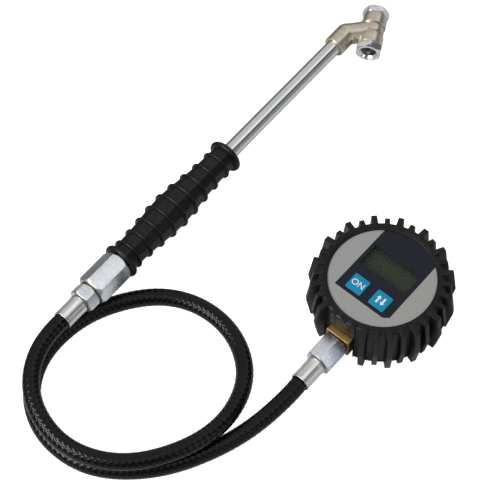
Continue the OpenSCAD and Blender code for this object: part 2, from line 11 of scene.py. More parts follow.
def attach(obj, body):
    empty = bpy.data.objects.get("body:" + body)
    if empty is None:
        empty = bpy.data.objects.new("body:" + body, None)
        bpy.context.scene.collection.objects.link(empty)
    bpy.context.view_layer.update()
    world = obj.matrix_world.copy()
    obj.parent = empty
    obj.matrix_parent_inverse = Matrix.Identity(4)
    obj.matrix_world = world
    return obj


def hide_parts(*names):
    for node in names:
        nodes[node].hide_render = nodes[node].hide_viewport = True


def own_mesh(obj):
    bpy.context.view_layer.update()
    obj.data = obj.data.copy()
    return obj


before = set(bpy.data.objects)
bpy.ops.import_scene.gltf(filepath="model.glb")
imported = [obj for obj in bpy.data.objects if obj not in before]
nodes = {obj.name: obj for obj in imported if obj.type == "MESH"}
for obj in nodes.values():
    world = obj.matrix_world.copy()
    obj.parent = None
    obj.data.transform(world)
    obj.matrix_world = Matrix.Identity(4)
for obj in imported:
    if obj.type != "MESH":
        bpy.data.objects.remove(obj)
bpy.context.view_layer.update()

MM = 0.001

# ---------------------------------------------------------------------------
# Sizes in millimetres, as in the CAD model

BOOT_R = 34.8
BOOT_H = 34.6
LIP_R = 30.0
LIP_IN_Z = 33.4
CASE_R = 31.5
FACE_Z = 33.0
LABEL_TOP = 33.3
STEM_Z = 14.5
STEM_FACE = 38.5
STEM_BACK = 16.0
STEM_W = 15.5
STEM_H = 14.0
DISPLAY_W = 31.0
DISPLAY_H = 14.0
DISPLAY_Y = 6.8
KEY_SIDE = 10.3
KEY_X = 7.9
KEY_Y = -11.4
KEY_TOP = 33.6
LANCE_AT = Vector((-125.1, 136.5, 7.8))
LANCE_YAW = math.radians(0.9)
LANCE_TILT = math.radians(3.0)
CHUCK_OFFSET = 10.9
CHUCK_ANGLE = math.radians(28)
HOSE_R = 5.0
FERRULE_R = 5.85
FERRULE_LEN = 14.5
GAUGE_HEX_AT = 39.5
GAUGE_HEX_LEN = 15.8
GAUGE_FERRULE_AT = 56.0
GAUGE_EXIT = 70.5
BOSS_END = 23.5
BOSS_FRONT = 11.0
GRIP_AT = 121.8
GRIP_LEN = 95.0
COUPLING_AT = 216.8
COUPLING_LEN = 23.7
HANDLE_HEX_AT = 241.5
HANDLE_HEX_LEN = 7.8
HANDLE_FERRULE_AT = 250.0
HANDLE_EXIT = 264.5

# The hose's route from the handle to the gauge, the same points as in the CAD model
HOSE_ROUTE = [
    (-120, -144.5, 21.2), (-116, -156.3, 19.8), (-108.5, -166.6, 18.2),
    (-97, -174.8, 16.7), (-80.5, -179.5, 15.7), (-64, -178.5, 15.5), (-48.5, -172, 15.5),
    (-36, -161.5, 15.5), (-26.5, -148, 15.5), (-20, -133, 14.5), (-17.5, -117, 12.5),
    (-19.5, -101.5, 10), (-25.5, -87, 7.6), (-36, -75.5, 6), (-50, -68, 5.5),
    (-65.5, -65.5, 5.2), (-81, -68, 5.2), (-95, -75.5, 5.2), (-106, -87, 5.2),
    (-114.5, -100.5, 5.2), (-120, -115, 5.2), (-122, -131, 5.2), (-120.5, -146, 5.2),
    (-114.5, -160, 5.2), (-104, -171.5, 5.2), (-90, -178.5, 5.2), (-74, -180.5, 5.2),
    (-58, -177.5, 5.2), (-44, -169.5, 5.2), (-32, -158.5, 5.2), (-22.5, -146, 5.2),
    (-15, -132, 5.2), (-9, -117.5, 5.5), (-4.5, -102.5, 7), (-1.5, -88.5, 10.5),
]

# ---------------------------------------------------------------------------
# Places: each is a matrix from a piece's own millimetres to the row's


def shift(x, y, z):
    return Matrix.Translation((x, y, z))


def turn(degrees, axis):
    return Matrix.Rotation(math.radians(degrees), 4, axis)


LANCE = (
    Matrix.Translation(LANCE_AT)
    @ Matrix.Rotation(LANCE_YAW, 4, "Z")
    @ Matrix.Rotation(-LANCE_TILT, 4, "X")
)


def on_lance(s=0.0):
    """Local +z runs back along the lance, from s millimetres behind the chuck."""
    return LANCE @ shift(0, -s, 0) @ turn(90, "X")


def on_stem(d):
    """Local +z runs out of the gauge along the stem, from d millimetres off the face's centre."""
    return shift(0, -d, STEM_Z) @ turn(90, "X")


CHUCK = LANCE @ shift(CHUCK_OFFSET, 0, 0) @ Matrix.Rotation(CHUCK_ANGLE, 4, "Z")
FRONT_BARREL = CHUCK @ turn(-90, "X")
REAR_BARREL = CHUCK @ turn(90, "X")

# ---------------------------------------------------------------------------
# Camera


def make_camera():
    camera = bpy.data.objects.new("camera", bpy.data.cameras.new("camera"))
    bpy.context.scene.collection.objects.link(camera)
    camera.location = (0.34557, -0.53260, 1.21181)
    aim = Vector((-0.0867, -0.0174, 0.0))
    camera.rotation_euler = (aim - camera.location).to_track_quat("-Z", "Y").to_euler()
    camera.data.sensor_width = 36
    camera.data.lens = 183.75
    camera.data.clip_start = 0.05
    camera.data.clip_end = 20
    bpy.context.scene.camera = camera


make_camera()

# ---------------------------------------------------------------------------
# Mesh helpers. Meshes are made in millimetres in a piece's own frame.


def mesh_from(bm, name):
    bmesh.ops.recalc_face_normals(bm, faces=bm.faces)
    mesh = bpy.data.meshes.new(name)
    bm.to_mesh(mesh)
    bm.free()
    return mesh


def smooth(mesh, angle=35):
    """Smooth shading, with edges sharper than the angle kept sharp."""
    mesh.shade_smooth()
    mesh.set_sharp_from_angle(angle=math.radians(angle))
    return mesh


def lathe(outline, steps=96, shape=None, name="lathe"):
    """A closed solid turned from an outline of (radius, height) points.
    shape(radius, angle, height) may change the radius round the turn."""
    bm = bmesh.new()
    rings = []
    for radius, height in outline:
        if radius < 1e-6:
            rings.append([bm.verts.new((0, 0, height))])
            continue
        ring = []
        for k in range(steps):
            angle = 2 * math.pi * k / steps
            r = shape(radius, angle, height) if shape else radius
            ring.append(bm.verts.new((r * math.cos(angle), r * math.sin(angle), height)))
        rings.append(ring)
    for a, b in zip(rings, rings[1:] + rings[:1]):
        if len(a) == 1 and len(b) == 1:
            continue
        for k in range(steps):
            n = (k + 1) % steps
            if len(a) == 1:
                bm.faces.new((a[0], b[k], b[n]))
            elif len(b) == 1:
                bm.faces.new((a[k], a[n], b[0]))
            else:
                bm.faces.new((a[k], a[n], b[n], b[k]))
    return mesh_from(bm, name)


def rounded(points, steps=5):
    """An outline with its corners rounded. Each point is (x, y) or (x, y, corner radius)."""
    out = []
    count = len(points)
    for i, point in enumerate(points):
        here = Vector(point[:2])
        radius = point[2] if len(point) > 2 else 0
        if radius <= 0:
            out.append(tuple(here))
            continue
        before = (Vector(points[i - 1][:2]) - here).normalized()
        after = (Vector(points[(i + 1) % count][:2]) - here).normalized()
        half = math.acos(max(-1, min(1, before.dot(after)))) / 2
        centre = here + (before + after).normalized() * (radius / math.sin(half))
        first = here + before * (radius / math.tan(half)) - centre
        last = here + after * (radius / math.tan(half)) - centre
        start = math.atan2(first.y, first.x)
        sweep = math.remainder(math.atan2(last.y, last.x) - start, 2 * math.pi)
        for k in range(steps + 1):
            angle = start + sweep * k / steps
            out.append((centre.x + radius * math.cos(angle), centre.y + radius * math.sin(angle)))
    return out


def prism(outline, low, high, name="prism"):
    """A straight solid from an outline of (x, y) points, between two heights."""
    bm = bmesh.new()
    bottom = [bm.verts.new((x, y, low)) for x, y in outline]
    top = [bm.verts.new((x, y, high)) for x, y in outline]
    bm.faces.new(list(reversed(bottom)))
    bm.faces.new(top)
    count = len(outline)
    for k in range(count):
        n = (k + 1) % count
        bm.faces.new((bottom[k], bottom[n], top[n], top[k]))
    return mesh_from(bm, name)


def box_mesh(low, high, bevel=0.0, segments=2, name="box"):
    bm = bmesh.new()
    bmesh.ops.create_cube(bm, size=1)
    low, high = Vector(low), Vector(high)
    size = high - low
    bmesh.ops.scale(bm, vec=size, verts=bm.verts)
    bmesh.ops.translate(bm, vec=(low + high) / 2, verts=bm.verts)
    if bevel:
        bmesh.ops.bevel(
            bm, geom=list(bm.edges), offset=bevel, segments=segments, profile=0.5, affect="EDGES"
        )
    return mesh_from(bm, name)


def moved(mesh, matrix):
    copy = mesh.copy()
    copy.transform(matrix)
    return copy


def joined(meshes, name="joined"):
    bm = bmesh.new()
    for mesh in meshes:
        bm.from_mesh(mesh)
    return mesh_from(bm, name)


def after_modifiers(obj):
    graph = bpy.context.evaluated_depsgraph_get()
    return bpy.data.meshes.new_from_object(obj.evaluated_get(graph))


def in_scene(mesh):
    obj = bpy.data.objects.new("work", mesh)
    bpy.context.scene.collection.objects.link(obj)
    return obj


def combined(mesh, tools, operation):
    """mesh after an exact boolean with each tool: UNION, DIFFERENCE or INTERSECT."""
    base = in_scene(mesh)
    helpers = []
    for tool in tools:
        helper = in_scene(tool)
        helpers.append(helper)
        modifier = base.modifiers.new("cut", "BOOLEAN")
        modifier.operation = operation
        modifier.solver = "EXACT"
        modifier.object = helper
    bpy.context.view_layer.update()
    result = after_modifiers(base)
    for obj in helpers + [base]:
        bpy.data.objects.remove(obj)
    return result


def bevelled(mesh, width, segments=2, angle=30):
    """mesh with its sharp edges rounded."""
    base = in_scene(mesh)
    modifier = base.modifiers.new("bevel", "BEVEL")
    modifier.width = width
    modifier.segments = segments
    modifier.limit_method = "ANGLE"
    modifier.angle_limit = math.radians(angle)
    modifier.use_clamp_overlap = True
    bpy.context.view_layer.update()
    result = after_modifiers(base)
    bpy.data.objects.remove(base)
    return result


def piece(name, mesh, place, material, body, node=None):
    """Puts a finished mesh into the row's frame as a piece that rides on a body."""
    final = moved(mesh, Matrix.Scale(MM, 4) @ place)
    final.name = name
    final.materials.clear()
    final.materials.append(material)
    obj = bpy.data.objects.new(name, final)
    bpy.context.scene.collection.objects.link(obj)
    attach(obj, body)
    if node:
        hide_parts(node)
    return obj


# ---------------------------------------------------------------------------
# Materials. Each is procedural, in the row's own coordinates or along a piece's axis.


class Material:
    """A node material with short calls for what the materials here share."""

    def __init__(self, name, color, metallic=0.0, roughness=0.5):
        self.data = bpy.data.materials.new(name)
        self.data.use_nodes = True
        self.tree = self.data.node_tree
        self.shader = self.tree.nodes["Principled BSDF"]
        self.set("Base Color", (*color, 1))
        self.set("Metallic", metallic)
        self.set("Roughness", roughness)
        self.data.diffuse_color = (*color, 1)
        self.data.metallic = metallic
        self.data.roughness = roughness
        self.place = None

    def set(self, socket, value):
        self.shader.inputs[socket].default_value = value

    def node(self, kind, **inputs):
        new = self.tree.nodes.new(kind)
        for key, value in inputs.items():
            self.feed(new.inputs[key], value)
        return new

    def feed(self, socket, value):
        if isinstance(value, bpy.types.NodeSocket):
            self.tree.links.new(value, socket)
        else:
            socket.default_value = value

    def position(self, stretch=(1, 1, 1), along=None):
        """Coordinates in metres, in the row's frame or in the frame of the matrix along."""
        out = self.node("ShaderNodeTexCoord").outputs["Object"]
        if along is not None:
            inverse = along.inverted()
            mapping = self.node("ShaderNodeMapping", Vector=out)
            mapping.inputs["Location"].default_value = inverse.to_translation() * MM
            mapping.inputs["Rotation"].default_value = inverse.to_euler()
            out = mapping.outputs["Vector"]
        if tuple(stretch) != (1, 1, 1):
            mapping = self.node("ShaderNodeMapping", Vector=out)
            mapping.inputs["Scale"].default_value = stretch
            out = mapping.outputs["Vector"]
        return out

    def noise(self, size_mm, detail=3.0, stretch=(1, 1, 1), along=None, roughness=0.5):
        """Noise from 0 to 1 with features of about that size."""
        texture = self.node("ShaderNodeTexNoise", Vector=self.position(stretch, along))
        texture.inputs["Scale"].default_value = 1 / (size_mm * MM)
        texture.inputs["Detail"].default_value = detail
        texture.inputs["Roughness"].default_value = roughness
        return texture.outputs["Fac"]

    def grains(self, size_mm, stretch=(1, 1, 1)):
        """A random grey for each cell of a crystal pattern."""
        texture = self.node("ShaderNodeTexVoronoi", Vector=self.position(stretch))
        texture.inputs["Scale"].default_value = 1 / (size_mm * MM)
        return texture.outputs["Color"]

    def ramp(self, value, stops):
        """Maps 0 to 1 to the stops, each (place, grey or colour)."""
        ramp = self.node("ShaderNodeValToRGB", Fac=value)
        elements = ramp.color_ramp.elements
        while len(elements) < len(stops):
            elements.new(0.5)
        for element, (place, color) in zip(elements, stops):
            element.position = place
            element.color = (*color, 1) if isinstance(color, tuple) else (color, color, color, 1)
        return ramp.outputs["Color"]

    def mix(self, factor, a, b, blend="MIX"):
        mix = self.node("ShaderNodeMix")
        mix.data_type = "RGBA"
        mix.blend_type = blend
        self.feed(mix.inputs[0], factor)
        for socket, value in ((mix.inputs[6], a), (mix.inputs[7], b)):
            self.feed(socket, (*value, 1) if isinstance(value, tuple) else value)
        return mix.outputs[2]

    def color(self, value):
        self.feed(self.shader.inputs["Base Color"], value)

    def rough(self, value):
        self.feed(self.shader.inputs["Roughness"], value)

    def bump(self, *layers):
        """Layers of (height, depth in millimetres), one on another."""
        normal = None
        for height, depth_mm in layers:
            bump = self.node("ShaderNodeBump", Height=height)
            bump.inputs["Distance"].default_value = depth_mm * MM
            if normal is not None:
                self.feed(bump.inputs["Normal"], normal)
            normal = bump.outputs["Normal"]
        self.feed(self.shader.inputs["Normal"], normal)


def rubber(name, color, low_rough, high_rough, bloom=1.8, grain_mm=0.35, specular=0.5):
    """Moulded rubber: fine grain, faint grey bloom and soft patches of gloss."""
    m = Material(name, color, roughness=low_rough)
    m.set("Specular IOR Level", specular)
    patches = m.noise(6, 4)
    dark = tuple(c * 0.75 for c in color)
    pale = tuple(c * bloom for c in color)
    m.color(m.ramp(patches, [(0.3, dark), (0.55, color), (0.8, pale)]))
    m.rough(m.ramp(m.noise(2.5, 5), [(0.3, low_rough), (0.75, high_rough)]))
    m.bump((m.noise(grain_mm, 2), 0.02), (m.noise(3, 2), 0.05))
    return m.data


def zinc(name):
    """Bright zinc plate: a mottled, faintly blue crystal pattern."""
    m = Material(name, (0.66, 0.69, 0.72), metallic=1.0, roughness=0.3)
    crystal = m.ramp(m.grains(0.5), [(0.0, (0.46, 0.51, 0.58)), (1.0, (0.88, 0.89, 0.9))])
    clouds = m.ramp(m.noise(2.2, 5), [(0.35, (0.6, 0.63, 0.68)), (0.7, (0.84, 0.85, 0.84))])
    m.color(m.mix(0.45, crystal, clouds))
    m.rough(m.ramp(m.noise(0.9, 4), [(0.3, 0.24), (0.7, 0.44)]))
    m.bump((m.noise(0.4, 3), 0.02), (m.noise(1.6, 2), 0.03))
    return m.data


def drawn_metal(name, color, along, low_rough, high_rough, fine_mm=0.25, depth=0.006, dull=0.78):
    """Metal with fine streaks along its own axis."""
    m = Material(name, color, metallic=1.0, roughness=low_rough)
    long_factor = 0.02
    streaks = m.noise(fine_mm, 3, stretch=(1, 1, long_factor), along=along)
    m.color(m.ramp(streaks, [(0.3, tuple(c * dull for c in color)), (0.65, color)]))
    m.rough(m.ramp(m.noise(fine_mm * 2, 4, stretch=(1, 1, long_factor * 2), along=along),
                   [(0.3, low_rough), (0.7, high_rough)]))
    m.bump((streaks, depth))
    return m.data


def turned_metal(name, color, along, low_rough, high_rough):
    """Metal with the fine rings that a lathe leaves round its axis."""
    m = Material(name, color, metallic=1.0, roughness=low_rough)
    rings = m.noise(0.45, 3, stretch=(0.03, 0.03, 1), along=along)
    dull = tuple(c * 0.8 for c in color)
    m.color(m.ramp(rings, [(0.35, dull), (0.6, color)]))
    m.rough(m.ramp(m.noise(0.8, 4), [(0.3, low_rough), (0.7, high_rough)]))
    m.bump((rings, 0.03), (m.noise(1.8, 2), 0.02))
    return m.data


def cast_metal(name, color, low_rough, high_rough):
    """A plated casting: soft blasted grain with slightly darker patches at random."""
    m = Material(name, color, metallic=1.0, roughness=low_rough)
    dull = tuple(c * 0.8 for c in color)
    m.color(m.ramp(m.noise(2.5, 5), [(0.3, dull), (0.6, color)]))
    m.rough(m.ramp(m.noise(0.8, 4), [(0.3, low_rough), (0.7, high_rough)]))
    m.bump((m.noise(0.28, 2), 0.012), (m.noise(1.8, 2), 0.03))
    return m.data


def plastic(name, color, roughness, grain_mm=0.25, depth=0.012):
    """Moulded plastic with a fine even grain."""
    m = Material(name, color, roughness=roughness)
    dark, pale = tuple(c * 0.9 for c in color), tuple(c * 1.1 for c in color)
    m.color(m.ramp(m.noise(4, 3), [(0.3, dark), (0.7, pale)]))
    m.rough(m.ramp(m.noise(1.5, 3), [(0.3, roughness * 0.85), (0.7, min(1.0, roughness * 1.15))]))
    m.bump((m.noise(grain_mm, 2), depth))
    return m.data


def printed_film(name, color, roughness):
    """A printed plastic film: nearly even, with faint speckle and a soft gloss."""
    m = Material(name, color, roughness=roughness)
    m.set("Specular IOR Level", 0.2)
    dark, pale = tuple(c * 0.96 for c in color), tuple(c * 1.04 for c in color)
    m.color(m.ramp(m.noise(0.5, 4), [(0.3, dark), (0.7, pale)]))
    m.rough(m.ramp(m.noise(9, 3), [(0.3, roughness * 0.85), (0.7, roughness * 1.15)]))
    m.bump((m.noise(0.2, 2), 0.004))
    return m.data


def hose_cover():
    """Glossy black hose cover over a braid."""
    m = Material("hose_cover", (0.005, 0.005, 0.005), roughness=0.22)
    m.set("Specular IOR Level", 0.2)
    m.color(m.ramp(m.noise(5, 4), [(0.3, (0.0015, 0.0015, 0.0015)), (0.7, (0.003, 0.003, 0.003))]))
    m.rough(m.ramp(m.noise(2, 5), [(0.3, 0.1), (0.75, 0.2)]))
    m.bump((m.noise(0.4, 3), 0.01))
    return m.data


def window_glass():
    m = Material("window_glass", (0.02, 0.025, 0.02), roughness=0.05)
    m.set("Alpha", 0.15)
    m.rough(m.ramp(m.noise(8, 2), [(0.3, 0.03), (0.7, 0.08)]))
    return m.data


def circuit_green():
    m = Material("circuit_green", (0.02, 0.14, 0.06), roughness=0.35)
    tracks = m.ramp(m.grains(2.2), [(0.45, (0.015, 0.11, 0.05)), (0.5, (0.03, 0.2, 0.09))])
    m.color(tracks)
    m.bump((tracks, 0.02))
    return m.data


BOOT_RUBBER = rubber("boot_rubber", (0.005, 0.005, 0.005), 0.34, 0.5, bloom=1.8, specular=0.22)
GRIP_RUBBER = rubber("grip_rubber", (0.0045, 0.0045, 0.0045), 0.28, 0.42, bloom=1.7, specular=0.26)
SEAL_RUBBER = rubber("seal_rubber", (0.02, 0.02, 0.02), 0.4, 0.55, grain_mm=0.15)
CONNECTOR_RUBBER = rubber("connector_rubber", (0.5, 0.2, 0.28), 0.5, 0.6, bloom=1.1)
HOSE = hose_cover()
ZINC = zinc("zinc_plate")
GAUGE_FERRULE = drawn_metal(
    "gauge_ferrule_plate", (0.8, 0.79, 0.77), on_stem(0), 0.22, 0.4, fine_mm=0.9, depth=0.05,
    dull=0.6,
)
HANDLE_FERRULE = drawn_metal(
    "handle_ferrule_plate", (0.8, 0.79, 0.77), on_lance(), 0.22, 0.4, fine_mm=0.9, depth=0.05,
    dull=0.6,
)
ROD_CHROME = drawn_metal("rod_chrome", (0.74, 0.74, 0.71), on_lance(), 0.1, 0.24, fine_mm=0.35)
CAP_CHROME = cast_metal("cap_chrome", (0.78, 0.78, 0.78), 0.1, 0.2)
NICKEL = cast_metal("nickel_plate", (0.62, 0.55, 0.45), 0.28, 0.42)
NICKEL_TURNED = turned_metal("nickel_turned", (0.62, 0.55, 0.45), FRONT_BARREL, 0.26, 0.42)
BRASS = drawn_metal("brass", (0.34, 0.23, 0.085), on_stem(0), 0.3, 0.45, fine_mm=0.6, depth=0.02)
WASHER_BRASS = cast_metal("washer_brass", (0.2, 0.14, 0.07), 0.4, 0.55)
STEEL = cast_metal("bright_steel", (0.6, 0.6, 0.62), 0.2, 0.35)
WIRE = cast_metal("spring_wire", (0.5, 0.5, 0.52), 0.25, 0.35)
RED_WASHER = plastic("red_washer", (0.085, 0.011, 0.008), 0.5)
CASE_PLASTIC = plastic("case_plastic", (0.018, 0.018, 0.02), 0.5)
SWITCH_PLASTIC = plastic("switch_plastic", (0.05, 0.05, 0.055), 0.45)
KEY_BLUE = printed_film("key_blue", (0.003, 0.19, 0.33), 0.42)
KEY_WHITE = printed_film("key_white", (0.62, 0.64, 0.66), 0.45)
LABEL_GREY = printed_film("label_grey", (0.248, 0.248, 0.238), 0.5)
PANEL_DARK = printed_film("panel_dark", (0.006, 0.007, 0.014), 0.38)
DISPLAY = printed_film("display_green", (0.03, 0.035, 0.02), 0.3)
WINDOW = window_glass()
CIRCUIT = circuit_green()

CAD_MATERIALS = {
    "case_body": CASE_PLASTIC,
    "front_bezel": CASE_PLASTIC,
    "display_frame": CASE_PLASTIC,
    "battery_holder": CASE_PLASTIC,
    "battery_door": CASE_PLASTIC,
    "display_panel": DISPLAY,
    "display_window": WINDOW,
    "display_connector": CONNECTOR_RUBBER,
    "circuit_board": CIRCUIT,
    "board_screws": STEEL,
    "stem_screws": STEEL,
    "case_screws": STEEL,
    "pressure_sensor": STEEL,
    "coin_cell": STEEL,
    "on_switch": SWITCH_PLASTIC,
    "unit_switch": SWITCH_PLASTIC,
    "sensor_oring": SEAL_RUBBER,
    "front_seal": SEAL_RUBBER,
    "rear_seal": SEAL_RUBBER,
    "gauge_hose_end": HOSE,
    "handle_hose_end": HOSE,
    "battery_contact": BRASS,
    "handle_washer": WASHER_BRASS,
    "front_guide": BRASS,
    "rear_guide": BRASS,
    "front_pin": STEEL,
    "rear_pin": STEEL,
    "gauge_washer": RED_WASHER,
    "rod": ROD_CHROME,
}
for node_name, material in CAD_MATERIALS.items():
    cad_mesh = nodes[node_name].data
    cad_mesh.materials.clear()
    cad_mesh.materials.append(material)

# ---------------------------------------------------------------------------
# Hose


def hose_line(steps):
    """Points along the hose's centre line, by the same spline as in the CAD model."""
    route = [on_lance(HANDLE_EXIT).to_translation(), on_lance(HANDLE_EXIT + 6).to_translation()]
    route += [Vector(p) for p in HOSE_ROUTE]
    route += [Vector((0, -GAUGE_EXIT - 6, STEM_Z - 1)), Vector((0, -GAUGE_EXIT, STEM_Z))]
    last = len(route) - 1
    control = [
        p if i in (0, last) else p - (route[i - 1] - 2 * p + route[i + 1]) / 6
        for i, p in enumerate(route)
    ]
    control = [2 * control[0] - control[1]] + control + [2 * control[last] - control[last - 1]]
    line = []
    for i in range(last):
        a, b, c, d = control[i:i + 4]
        for k in range(steps):
            t = k / steps
            line.append((
                (1 - t) ** 3 * a + (3 * t ** 3 - 6 * t * t + 4) * b
                + (3 * t * t + 3 * t + 1 - 3 * t ** 3) * c + t ** 3 * d
            ) / 6)
    line.append(route[last])
    return np.array([tuple(p) for p in line])


def evenly(line, spacing):
    """The line's points again, at an even spacing."""
    gaps = np.linalg.norm(np.diff(line, axis=0), axis=1)
    run = np.concatenate([[0], np.cumsum(gaps)])
    count = int(round(run[-1] / spacing))
    places = np.linspace(0, run[-1], count + 1)
    return np.column_stack([np.interp(places, run, line[:, k]) for k in range(3)]), places


BRAID_CARRIERS = 12
BRAID_PITCH = 3.4
BRAID_DEPTH = 0.32


def make_hose():
    line, places = evenly(hose_line(40), 0.5)
    sides = 60
    tangents = np.gradient(line, axis=0)
    tangents /= np.linalg.norm(tangents, axis=1)[:, None]
    normal = np.cross(tangents[0], (0, 0, 1))
    normal /= np.linalg.norm(normal)
    angles = np.linspace(0, 2 * math.pi, sides, endpoint=False)
    rings = []
    for point, tangent, s in zip(line, tangents, places):
        normal = normal - tangent * normal.dot(tangent)
        normal /= np.linalg.norm(normal)
        side = np.cross(tangent, normal)
        weave = np.cos(BRAID_CARRIERS * angles) * math.cos(2 * math.pi * s / BRAID_PITCH)
        radius = HOSE_R - BRAID_DEPTH * (0.5 - 0.5 * weave)
        ring = point + radius[:, None] * (
            np.cos(angles)[:, None] * normal + np.sin(angles)[:, None] * side
        )
        rings.append(ring)
    points = np.concatenate(rings)
    faces = []
    for i in range(len(line) - 1):
        for k in range(sides):
            a = i * sides + k
            b = i * sides + (k + 1) % sides
            faces.append((a, b, b + sides, a + sides))
    faces.append(tuple(range(sides - 1, -1, -1)))
    faces.append(tuple(range(len(points) - sides, len(points))))
    mesh = bpy.data.meshes.new("hose_skin")
    mesh.from_pydata([tuple(p) for p in points], [], faces)
    smooth(mesh, 60)
    skin = piece("hose_skin", mesh, Matrix.Identity(4), HOSE, "gauge", "hose")


make_hose()

# ---------------------------------------------------------------------------
# Rubber boot

LUG_PAIRS = 16
TALL_LUG = (39.4, 41.5, 38.7)
SHORT_LUG = tuple(r - 1.8 for r in TALL_LUG)


def lug_mesh(radii, width):
    """One lug, from the back edge to the lip, with rounded edges and a slight draft."""
    top_r, middle_r, low_r = radii
    root = 33.0
    outline = [
        (root, 0.6), (low_r, 0.6), (middle_r, 17.0), (top_r, BOOT_H - 0.8),
        (LIP_R + 2, BOOT_H + 0.3), (LIP_R + 2, BOOT_H - 0.8), (root, BOOT_H - 1.5),
    ]
    bm = bmesh.new()
    sides = []
    for sign in (-1, 1):
        ring = []
        for r, z in outline:
            draft = 0.25 * (r - root) / (middle_r - root)
            ring.append(bm.verts.new((r, sign * (width / 2 - draft + 0.15), z)))
        sides.append(ring)
    bm.faces.new(sides[0])
    bm.faces.new(list(reversed(sides[1])))
    count = len(outline)
    for k in range(count):
        n = (k + 1) % count
        bm.faces.new((sides[0][k], sides[1][k], sides[1][n], sides[0][n]))
    bmesh.ops.bevel(
        bm, geom=list(bm.edges), offset=0.35, segments=3, profile=0.5, affect="EDGES",
        clamp_overlap=True,
    )
    return mesh_from(bm, "lug")


def make_boot():
    ring = lathe(rounded([
        (27.0, 0.0, 0.3),
        (BOOT_R, 0.0, 1.4),
        (BOOT_R, BOOT_H - 1.3, 1.2),
        (LIP_R + 3.3, BOOT_H - 0.5, 0.3),
        (LIP_R + 2.7, BOOT_H - 0.55, 0.2),
        (LIP_R + 2.5, BOOT_H, 0.25),
        (LIP_R + 1.5, BOOT_H, 0.3),
        (LIP_R + 1.3, BOOT_H - 0.4, 0.1),
        (LIP_R + 1.0, BOOT_H - 0.4, 0.1),
        (LIP_R + 0.9, BOOT_H - 0.25, 0.2),
        (LIP_R, BOOT_H - 0.7, 0.3),
        (LIP_R, LIP_IN_Z),
        (CASE_R + 0.1, LIP_IN_Z),
        (CASE_R + 0.1, 2.2),
        (27.0, 2.2),
    ], steps=4), steps=192)
    tall = lug_mesh(TALL_LUG, 3.3)
    short = lug_mesh(SHORT_LUG, 2.9)
    lugs = []
    for i in range(LUG_PAIRS):
        angle = 90 + i * 360 / LUG_PAIRS
        lugs.append(moved(tall, turn(angle, "Z")))
        lugs.append(moved(short, turn(angle + 180 / LUG_PAIRS, "Z")))
    stem_gap = box_mesh((-10.5, -50, -1), (10.5, -34.6, 60), 0.3)
    lugs = combined(joined(lugs), [stem_gap], "DIFFERENCE")
    slot_outline = rounded([(-8.2, -5), (8.2, -5), (8.2, 22.4, 1.5), (-8.2, 22.4, 1.5)], steps=4)
    slot = moved(prism(slot_outline, 20, 50), turn(90, "X"))
    solid = combined(ring, [lugs], "UNION")
    solid = combined(solid, [slot], "DIFFERENCE")
    piece(
        "boot", smooth(solid, 40), Matrix.Identity(4), BOOT_RUBBER, "gauge",
        "rubber_boot",
    )


make_boot()

# ---------------------------------------------------------------------------
# Face: label, dark panel and keys


def flat_shape(splines, low, high, bevel=0.0, name="flat"):
    """A flat piece from closed outlines, with holes where they lie inside one another."""
    curve = bpy.data.curves.new(name, "CURVE")
    curve.dimensions = "2D"
    curve.fill_mode = "BOTH"
    curve.extrude = (high - low) / 2 - bevel
    curve.bevel_depth = bevel
    curve.bevel_resolution = 2
    curve.offset = -bevel
    for outline in splines:
        spline = curve.splines.new("POLY")
        spline.points.add(len(outline) - 1)
        for point, (x, y) in zip(spline.points, outline):
            point.co = (x, y, 0, 1)
        spline.use_cyclic_u = True
    obj = bpy.data.objects.new(name, curve)
    bpy.context.scene.collection.objects.link(obj)
    bpy.context.view_layer.update()
    mesh = after_modifiers(obj)
    bpy.data.objects.remove(obj)
    mesh.transform(shift(0, 0, (low + high) / 2))
    return mesh


def circle_points(radius, count=160, start=0.0, end=2 * math.pi):
    return [
        (radius * math.cos(start + (end - start) * k / count),
         radius * math.sin(start + (end - start) * k / count))
        for k in range(count)
    ]


def rectangle(cx, cy, w, h, corner=0.0):
    points = [
        (cx - w / 2, cy - h / 2, corner), (cx + w / 2, cy - h / 2, corner),
        (cx + w / 2, cy + h / 2, corner), (cx - w / 2, cy + h / 2, corner),
    ]
    return rounded(points, steps=4)


LABEL_R = 30.9
PANEL_R = 30.6
PANEL_LEFT = -18.1
PANEL_RIGHT = 18.1
PANEL_LOW = -18.9
PANEL_CHAMFER = 3.0
KEY_HOLE = KEY_SIDE + 0.4
GREY_BACK = 0.8


def panel_outline():
    """The dark panel: straight sides, an arc along the top and one cut corner."""
    right = math.acos(PANEL_RIGHT / PANEL_R)
    left = math.acos(PANEL_LEFT / PANEL_R)
    arc = circle_points(PANEL_R, 60, right, left)
    return [
        (PANEL_LEFT, PANEL_LOW),
        (PANEL_RIGHT - PANEL_CHAMFER, PANEL_LOW),
        (PANEL_RIGHT, PANEL_LOW + PANEL_CHAMFER * 0.8),
    ] + arc


